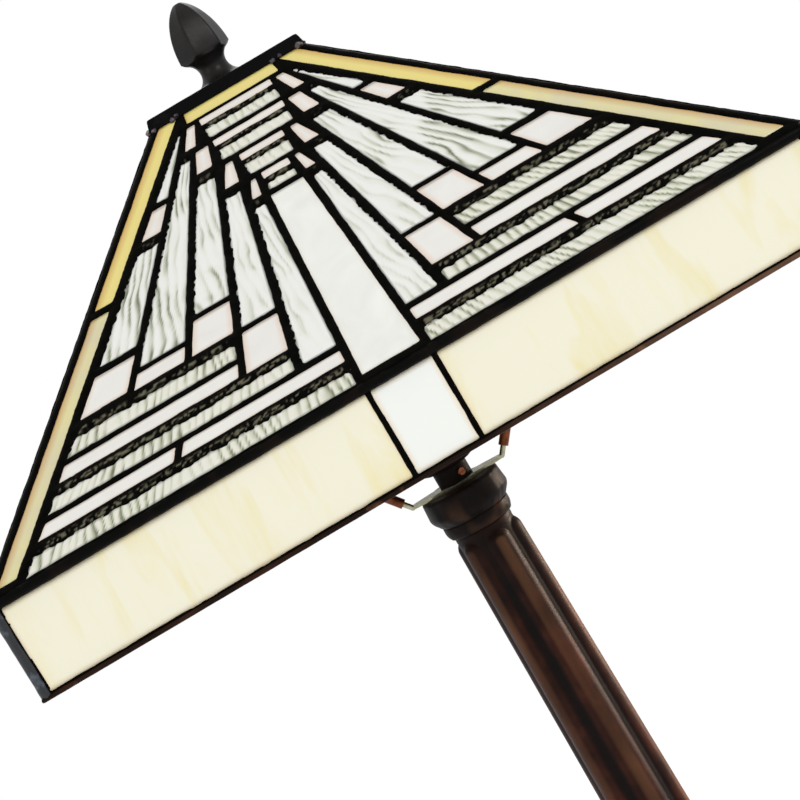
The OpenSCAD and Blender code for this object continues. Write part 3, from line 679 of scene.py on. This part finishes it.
def pane_mesh(wall, quad, side, kind, seed):
    """One pane as a closed sheet with its own surface, and what its colour needs at each point."""
    wide = max(np.hypot(*(quad[1] - quad[0])), np.hypot(*(quad[2] - quad[3])))
    tall = quad[2][1] - quad[1][1]
    step = 1.05 if kind == "clear" else 3.0
    columns, rows = max(int(wide / step), 4) + 1, max(int(tall / step), 4) + 1
    x, y = np.meshgrid(np.linspace(0, 1, columns), np.linspace(0, 1, rows))
    ease = 0.5 - 0.5 * np.cos(math.pi * x) if kind != "clear" else x
    foot = quad[0] + (quad[1] - quad[0]) * ease[..., None]
    top = quad[3] + (quad[2] - quad[3]) * ease[..., None]
    at = foot + (top - foot) * y[..., None]
    u, s = at[..., 0].ravel(), at[..., 1].ravel()
    across = (ease * (wide + np.hypot(*(quad[2] - quad[3]))) / 2).ravel()
    distances = edge_distances(quad, u, s, wall.bite)
    inner = -np.max(distances, axis=0)
    outer = -(distances[1] if quad[:, 0].mean() > 0 else distances[3])
    if kind == "clear":
        lean = across + 0.14 * s + 4.2 * noise2(across / 14, s / 21, seed)
        lean = lean + 1.3 * noise2(across / 5, s / 8, seed + 4)
        fold = (lean / 4.5) % 1
        crease = 1.4 * fold ** 1.5 * (1 - smooth_step(fold, 0.72, 1.0))
        fine = np.exp(-(noise2(lean / 1.7, s / 13, seed + 2) / 0.16) ** 2)
        far = smooth_step(np.abs(quad[:, 0].mean()), 20, 70)
        patchy = smooth_step(noise2(u / 10, s / 14, seed + 3), -0.45, 0.45)
        strong = (0.34 + 0.66 * patchy) * (0.6 + 0.4 * far)
        strong = np.where(wide > BAR * tall, 0.25 + 0.75 * strong, strong)
        # ripple height; the clear finish paints its highlights and shade from it
        wave = 1 - strong * (1.15 * crease + 0.25 * fine)
        bulge = 0.36 * wave - 0.2
        # painted shade: a dark line along the edge, where the lead shows through the glass
        fringe = smooth_step(-np.minimum(inner, outer * 0.8), -0.8, 0.1) * 0.8
    else:
        wave = noise2(u / 24, s / 24, seed)
        bulge = 0.12 * wave
        edge = outer if kind == "border" else inner
        # painted light: how near the pane's edge its warm line is painted
        fringe = smooth_step(-edge, -1.5, -0.1)
    verts = np.concatenate([
        wall.place(u, s, GLASS_T / 2 + bulge - 0.1, side),
        wall.place(u, s, -GLASS_T / 2 + bulge * 0.4 + 0.1, side),
    ])
    size = rows * columns
    faces = grid_faces(rows, columns)
    faces += [tuple(i + size for i in reversed(f)) for f in faces]
    loop = (list(range(columns)) + [r * columns + columns - 1 for r in range(1, rows)]
            + [(rows - 1) * columns + c for c in range(columns - 2, -1, -1)]
            + [r * columns for r in range(rows - 2, 0, -1)])
    faces += [(j, i, i + size, j + size) for i, j in zip(loop, loop[1:] + loop[:1])]
    shown = np.clip(wave if kind == "clear" else 0.5 + 0.5 * wave, 0, 1)
    return verts, faces, np.tile(shown, 2), np.tile(fringe, 2)


GLASS_NODES = (("white", "white_glass", WHITE, "opal_glass"), ("clear", "clear_glass", CLEAR, "clear_glass"),
               ("border", "border_glass", YELLOW, "yellow_glass"))


def glaze_slopes():
    wall = Wall("came_front", "clear_glass_front", 0.8)
    cells = {kind: wall.panes(node + "_front") for kind, node, _, _ in GLASS_NODES}
    every = [(quad, kind) for kind, quads in cells.items() for quad in quads]
    tallest = max(cells["white"], key=lambda q: q[2][1] - q[1][1])
    top = wall.high
    for side, name in enumerate(SIDES):
        verts, faces, painted_glint = lead_mesh(wall, every, side, 100 * side + 11)
        make(f"lead_lattice_{name}", verts, faces, LEAD, "shade", (f"came_{name}",), "lead",
             values={"painted_glint": painted_glint})
        for kind, node, finish, slot in GLASS_NODES:
            pile = Pile()
            centre = Pile()
            for i, quad in enumerate(cells[kind]):
                seed = 1000 * side + 10 * i + 3
                verts, faces, wave, fringe = pane_mesh(wall, quad, side, kind, seed)
                tone = hashed(np.array([[i, side, 7]]), 5)[0]
                if kind == "border":
                    tone = float(smooth_step(np.array(quad[:, 1].mean()), top - 190, top - 40))
                if kind == "clear":
                    tone = 0.8 if is_bar(quad) else 0.3
                into = centre if quad is tallest else pile
                into.add(verts, faces, wave=wave, fringe=fringe, tone=tone)
            pile.make(f"{node}_panes_{name}", finish, "shade", replaces=(f"{node}_{name}",), slot=slot)
            if centre.count:
                centre.make(f"centre_pane_{name}", CENTRE, "shade", slot=slot)


def glaze_skirt():
    wall = Wall("skirt_came_front", "skirt_glass_front", 0.35)
    panes = wall.panes("skirt_glass_front")
    for side, name in enumerate(SIDES):
        verts, faces, painted_glint = lead_mesh(wall, [(q, "white") for q in panes], side, 100 * side + 71)
        make(f"skirt_lead_{name}", verts, faces, LEAD, "shade", (f"skirt_came_{name}",), "lead",
             values={"painted_glint": painted_glint})
        pile = Pile()
        for i, quad in enumerate(panes):
            verts, faces, wave, fringe = pane_mesh(wall, quad, side, "skirt", 900 * side + i)
            tone = 1.0 if abs(quad[:, 0].mean()) < 1 else 0.0
            pile.add(verts, faces, wave=wave, fringe=fringe, tone=tone)
        pile.make(f"skirt_panes_{name}", SKIRT, "shade",
                  replaces=(f"skirt_glass_{name}",), slot="skirt_glass")


glaze_slopes()
glaze_skirt()


# ---------------------------------------------------------------- solder runs and cap

def millimetres(node):
    low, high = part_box(node)
    return np.array(low) / MM, np.array(high) / MM


def add_solder():
    eave_low, eave_high = millimetres("eave_came")
    ball = (eave_high[2] - eave_low[2]) / 2
    corner = eave_high[0] - ball
    eave_z = (eave_low[2] + eave_high[2]) / 2
    cap = millimetres("shade_cap")[1]
    eave, hips, corners = Pile(), Pile(), Pile()
    rim_top = millimetres("bottom_rim")[1][2]
    eave_r, hip_r, upright_r = 2.55, 2.15, 2.9
    upright_at = millimetres("corner_cames")[1][0] - upright_r
    for side in range(4):
        ends = turned(np.array([[-corner, -corner, eave_z], [corner, -corner, eave_z]]), side)
        eave.add(*rod(ends[0], ends[1], eave_r, side + 20, 0.25))
        eave.add(*blob(ends[1], ball * 0.98, side + 3, (1, 1, 0.95), 0.12))
        head = turned(np.array([[cap[0] - 3.9, -cap[0] + 3.9, cap[2] - 6.6]]), side)[0]
        hips.add(*rod(ends[1], head, hip_r, side + 40, 0.25))
        ends_up = [[upright_at, -upright_at, rim_top - 1], [upright_at, -upright_at, eave_z]]
        post = turned(np.array(ends_up), side)
        corners.add(*rod(post[0], post[1], upright_r, side + 60, 0.2))
    eave.make("eave_solder", BEAD, "shade", replaces=("eave_came",), slot="lead")
    hips.make("hip_solder", BEAD, "shade", replaces=("hip_cames",), slot="lead")
    corners.make("corner_solder", CORNER, "shade", replaces=("corner_cames",), slot="lead")


def add_rim():
    low, high = millimetres("bottom_rim")
    half, z0, z1 = high[0], low[2], high[2]
    inner = half - 5.6
    r = 0.9
    profile = [(inner + r, z0), (half - r, z0), (half - 0.25, z0 + 0.3), (half, z0 + r), (half, z1 - r),
               (half - 0.25, z1 - 0.3), (half - r, z1), (inner + r, z1), (inner, z1 - r), (inner, z0 + r)]
    make("rim_channel", *square_ring(profile, 160, 0.12, 5), RIM, "shade", ("bottom_rim",), "rim_bronze")


def add_cap():
    low, high = millimetres("shade_cap")
    half, z0, z1 = high[0], low[2], high[2]
    inset = half - 1.7        # the foot of the cap's fold leans out by this much
    profile = [(3.2, z1 - 0.2), (14, z1), (inset - 1.4, z1), (inset - 0.5, z1 - 0.25), (inset, z1 - 0.9),
               (half - 0.5, z0 + 1), (half, z0 + 0.3), (half - 0.6, z0 - 0.1), (half - 1.3, z0 + 0.4),
               (inset - 1.4, z1 - 1.4), (14, z1 - 1.3), (3.2, z1 - 1.3)]
    make("cap_shell", *square_ring(profile, 60, 0.16, 9), CAP, "shade", ("shade_cap",), "patina")
    knots = Pile()
    places = ((-41.6, 0.2, 1.3), (-31.2, 0.1, 1.5), (-28.6, 1.0, 1.4),
              (26.0, 0.1, 1.5), (30.4, 0.9, 1.2), (41.2, 0.3, 2.0))        # along, up, size
    for side in range(4):
        for i, (u, up, size) in enumerate(places):
            at = turned(np.array([[u, -(half - 0.8), z0 + up]]), side)[0]
            knots.add(*blob(at, size, 10 * side + i, (1.1, 1.1, 0.9), 0.3))
    knots.make("cap_knots", KNOT, "shade", slot="patina")


add_solder()
add_rim()
add_cap()


# ---------------------------------------------------------------- finial

def add_finial():
    """A six-sided acorn, a little rounded at its edges, on a coved neck with a flared foot."""
    low, high = millimetres("finial")
    z0, z1 = low[2], high[2]
    stem, turn = 16.0, math.radians(10)
    flat = 14.4 * math.cos(math.pi / 6)
    body_h = z1 - z0 - stem
    full_h = body_h + 0.6

    def acorn(up):
        """Half width across the flats at a height above the acorn's foot."""
        return flat * max(1 - (up / full_h) ** 2, 0) ** 0.62

    def ring(r, z, angle):
        if z <= z0 + stem - 1.2:
            return np.full(len(angle), float(r))
        away = np.abs((angle - turn - math.pi / 2 + math.pi / 6) % (math.pi / 3) - math.pi / 6)
        hexed = r / np.cos(away)
        blunt = np.full(len(angle), -1.145 * r)        # just short of a hexagon's corners, 1.155 r
        soft = smooth_max(-hexed, blunt, r * 0.03)
        share = smooth_step(np.array(z), z0 + stem - 1.2, z0 + stem + 0.4)
        return r * 1.02 * (1 - share) - soft * share

    neck, waist = 7.6, 7.4
    profile = [(4.7, z0), (14.2, z0), (14.9, z0 + 0.6), (14.7, z0 + 1.2)]
    for i in range(13):
        a = math.radians(-68 + 130 * i / 12)
        profile.append((neck + waist - waist * math.cos(a), z0 + 8.4 + waist * math.sin(a)))
    profile += [(12.0, z0 + stem - 0.6), (flat - 0.5, z0 + stem - 0.2), (flat, z0 + stem + 0.8)]
    ups = 0.8 + (body_h - 0.8) * (1 - (1 - np.linspace(0, 1, 40)[1:]) ** 1.6)
    profile += [(max(acorn(up), 0.9), z0 + stem + up) for up in ups] + [(0.02, z1)]
    verts, faces = revolve(profile, 144, ring)
    make("finial_acorn", verts, faces, DARK_METAL, "finial", ("finial",), "dark_metal")


add_finial()


# ---------------------------------------------------------------- stand

def add_column():
    """Six reeds round a core, tapering upwards. Each reed ends in a round arch under the neck bead."""
    low, high = millimetres("column")
    z0, z1 = low[2], high[2]
    foot_r = high[0] - 0.4
    top_r = foot_r * 18.8 / 22        # the column narrows by this much
    turn = math.radians(12 - 90)
    at, reed, core, collar = 11.1, 7.7, 16.4, 17.9        # a reed's place and radius, core and collar radii
    arch = z1 - 2.4

    def scale(z):
        return foot_r / top_r + (1 - foot_r / top_r) * (z - z0) / (z1 - z0)

    def ring(r, z, angle):
        k = scale(z)
        away = (angle - turn + math.pi / 6) % (math.pi / 3) - math.pi / 6
        past = max(z - (arch - reed), 0)
        reach = np.clip(reed ** 2 - (at * np.sin(away)) ** 2 - past ** 2, 0, None)
        reeded = np.where(reach > 0, at * np.cos(away) + np.sqrt(reach), core)
        reeded = smooth_max(reeded, np.full(len(angle), core), 0.6) * k
        down = np.clip((z - z0 - 6) / 6, 0, 1)
        share = math.sqrt(down * (2 - down))
        return np.full(len(angle), collar * k + 0.6) * (1 - share) + reeded * share

    heights = [z0 + 0.01, *np.linspace(z0 + 1, z1 - 12, 120), *np.linspace(z1 - 11.6, z1 - 1, 36), z1 - 0.01]
    inner = 5.0
    profile = [(inner, z0)] + [(top_r, z) for z in heights] + [(inner, z1)]
    verts, faces = revolve(profile, 288, lambda r, z, a: ring(r, z, a) if r > inner else np.full(len(a), r))
    radius = np.hypot(verts[:, 0], verts[:, 1])
    size = np.array([scale(z) for z in verts[:, 2]])
    drop = top_r - radius / size
    # dark patina in the grooves between the reeds
    patina_and_shade = smooth_step(drop, 1.1, 2.5)
    patchy = 0.1 + 0.16 * smooth_step(noise(verts / 9 * [1, 1, 0.3], 3), -0.3, 0.8)
    rub = (1 - smooth_step(drop, 0.0, 0.55)) * patchy
    rub[radius < inner + 1] = 0
    # painted shadow of the lamp shade: the column darkens towards its top
    patina_and_shade = np.maximum(0.85 * patina_and_shade, 0.75 * smooth_step(verts[:, 2], z1 - 60, z1 - 4))
    patina_and_shade[radius < inner + 1] = 0
    make("reeded_column", verts, faces, BRONZE, "stand", ("column",), "bronze",
         values={"patina_and_shade": patina_and_shade, "rub": rub})


def turned_piece(name, node, profile, dark):
    """A turned bronze piece with a slightly uneven skin. dark is how black it is painted outside its bore, a
    painted shade.
    """
    verts, faces = revolve(profile, 192)
    radius = np.hypot(verts[:, 0], verts[:, 1])
    lump = noise(verts / 3.4, 9) + noise(verts / 8, 12) - 0.5
    verts[:, :2] *= (1 + np.where(radius > 10, 0.3 * lump / radius, 0))[:, None]
    rub = smooth_step(noise(verts / 7, 4), 0.2, 0.9) * 0.1
    # painted shade: the piece is darkened outside its bore, as under the lamp shade
    make(name, verts, faces, BRONZE, "stand", (node,), "bronze",
         values={"patina_and_shade": np.where(radius < 6, 0, dark), "rub": rub})


def add_capital():
    bore, foot, brow, waist = 5.1, 19.4, 2.2, 18.0
    low, high = millimetres("capital")
    z0, z1, wide = low[2], high[2], high[0]
    profile = [(bore, z0), (foot - 0.1, z0), (foot, z0 + 0.2)]
    for i in range(1, 13):
        a = math.pi / 2 * i / 12
        profile.append((foot + (wide - foot) * math.sin(a), z0 + 0.43 * (z1 - z0) * i / 12))
    for i in range(13):
        a = math.pi / 2 * i / 12
        profile.append((wide - 0.6 - brow * (1 - math.cos(a)), z1 - brow * (1 - math.sin(a))))
    profile.append((bore, z1))
    # the capital and neck bead are painted nearly black, a painted shade under the lamp shade
    turned_piece("capital_bell", "capital", profile, 0.9)
    low, high = millimetres("neck_ring")
    z0, z1, wide = low[2], high[2], high[0]
    profile = [(bore, z0), (waist - 0.2, z0)]
    for i in range(1, 11):
        a = math.pi / 2 * i / 10
        profile.append((waist + (wide - waist) * math.sin(a), z0 + (z1 - z0 - 2.2) * (1 - math.cos(a))))
    profile += [(wide, z1 - 0.6), (wide - 0.1, z1 - 0.2), (wide - 0.4, z1), (bore, z1)]
    turned_piece("neck_bead", "neck_ring", profile, 0.88)


def add_dome():
    """The foot dome, with shallow gadroons that run out at its shoulder and its hem."""
    low, high = millimetres("base_dome")
    z0, z1, wide = low[2], high[2], high[0]
    height = z1 - z0
    neck = 25.3

    def share(z):
        t = (z - z0) / height
        return smooth_step(t, 0.06, 0.3) * (1 - smooth_step(t, 0.62, 0.88))

    def ring(r, z, angle):
        if r <= neck + 0.7:
            return np.full(len(angle), float(r))
        return r - 1.5 * share(z) * (1 - np.abs(np.cos(9 * angle)) ** 0.7)

    profile = [(52, z0 + 0.2), (wide - 0.8, z0), (wide, z0 + 0.8), (wide, z0 + 1.6)]
    for i in range(1, 41):
        t = i / 40
        out = wide + (neck - wide) * (1 - math.cos(math.pi * t ** 0.8)) / 2
        profile.append((out, z0 + 2 + t * (height - 5)))
    profile += [(neck - 0.6, z1 - 1.6), (neck - 1.2, z1 - 0.5), (neck - 2, z1), (5.1, z1)]
    verts, faces = revolve(profile, 288, ring)
    angle = np.arctan2(verts[:, 1], verts[:, 0])
    valley = (1 - np.abs(np.cos(9 * angle))) ** 3 * share(verts[:, 2])
    rub = smooth_step(noise(verts / 11, 6), 0.1, 0.9) * 0.35
    make("foot_dome", verts, faces, BRONZE, "stand", ("base_dome",), "bronze",
         values={"patina_and_shade": valley, "rub": rub})


CAD_FINISHES = {
    "base_felt": FELT, "base_plinth": BRONZE, "base_weight": IRON, "base_washer": STEEL, "base_nut": BRASS,
    "cord_bushing": RUBBER, "lamp_pipe": BRASS, "harp_saddle": OLD_BRASS, "harp": OLD_BRASS,
    "ferrule_left": COPPER, "ferrule_right": COPPER, "socket_cap": HUB, "set_screw": COPPER,
    "socket_shell": BRASS, "socket_liner": CARD, "socket_body": PHENOLIC, "screw_shell": NICKEL,
    "switch_knob": PHENOLIC, "bulb_glass": FROST, "bulb_base": NICKEL, "seat_washer": BRASS,
    "cap_frame": CAP, "finial_insert": BRASS,
}


def finish_cad():
    for node, finish in CAD_FINISHES.items():
        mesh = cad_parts[node].data
        mesh.materials.clear()
        mesh.materials.append(finish)


add_column()
add_capital()
add_dome()
finish_cad()


# ---------------------------------------------------------------- stage

def add_floor():
    """A plane that shines less near the lamp, so it takes a soft shadow there, and is clear from below."""
    near, far = 0.2, 0.7        # distances in metres
    reach = 6.0
    mesh = bpy.data.meshes.new("floor")
    mesh.from_pydata([(-reach, -reach, 0), (reach, -reach, 0), (reach, reach, 0), (-reach, reach, 0)], [],
                     [(0, 1, 2, 3)])
    floor = bpy.data.objects.new("floor", mesh)
    bpy.context.scene.collection.objects.link(floor)
    f = Finish("pale_floor", Roughness=0.9, Specular_IOR_Level=0.0, Emission_Color=(1, 1, 1, 1))
    away = f.node("VectorMath", {0: f.coordinates}, operation="LENGTH").outputs["Value"]
    spread = f.node("MapRange", {"Value": away, "From Min": near, "From Max": far,
                                 "To Min": 0.45, "To Max": 1.0})
    f.tree.links.new(spread.outputs["Result"], f.shader.inputs["Emission Strength"])
    f.colour(f.ramp(away, (near, (0.8, 0.8, 0.8)), (far, (0.0, 0.0, 0.0))))
    under = f.node("NewGeometry").outputs["Backfacing"]
    clear = f.node("BsdfTransparent").outputs["BSDF"]
    either = f.node("MixShader", {0: under, 1: f.shader.outputs["BSDF"], 2: clear})
    f.tree.links.new(either.outputs["Shader"], f.tree.nodes["Material Output"].inputs["Surface"])
    mesh.materials.append(f.material)


def add_light(name, at, aim, size, power, tint=(1, 1, 1), spread=math.pi):
    data = bpy.data.lights.new(name, "AREA")
    data.energy = power
    data.size = size
    data.spread = spread
    data.color = tint
    lamp = bpy.data.objects.new(name, data)
    lamp.location = at
    lamp.rotation_euler = (Vector((0, 0, aim)) - Vector(at)).to_track_quat("-Z", "Y").to_euler()
    bpy.context.scene.collection.objects.link(lamp)


def add_stage():
    """A white studio: the camera sees white, the lamp is lit by a dimmer white and four soft lights."""
    scene = bpy.context.scene
    world = bpy.data.worlds.new("studio")
    world.use_nodes = True
    nodes, links = world.node_tree.nodes, world.node_tree.links
    nodes["Background"].inputs["Color"].default_value = (1, 1, 1, 1)
    path = nodes.new("ShaderNodeLightPath")
    strength = nodes.new("ShaderNodeMapRange")
    strength.inputs["To Min"].default_value = 0.66
    strength.inputs["To Max"].default_value = 1.0
    links.new(path.outputs["Is Camera Ray"], strength.inputs["Value"])
    links.new(strength.outputs["Result"], nodes["Background"].inputs["Strength"])
    scene.world = world
    scene.view_settings.view_transform = "Standard"
    add_floor()
    add_light("key", (1.0, -1.6, 1.5), 0.4, 0.9, 11.0)
    add_light("fill", (-1.6, -1.2, 0.9), 0.4, 1.2, 4.0)
    add_light("back", (0.2, 1.6, 1.6), 0.4, 1.2, 5.0)
    add_light("edge", (0.9, 0.38, 0.08), 0.12, 0.3, 0.6, (1, 0.78, 0.6), math.pi / 9)


add_stage()
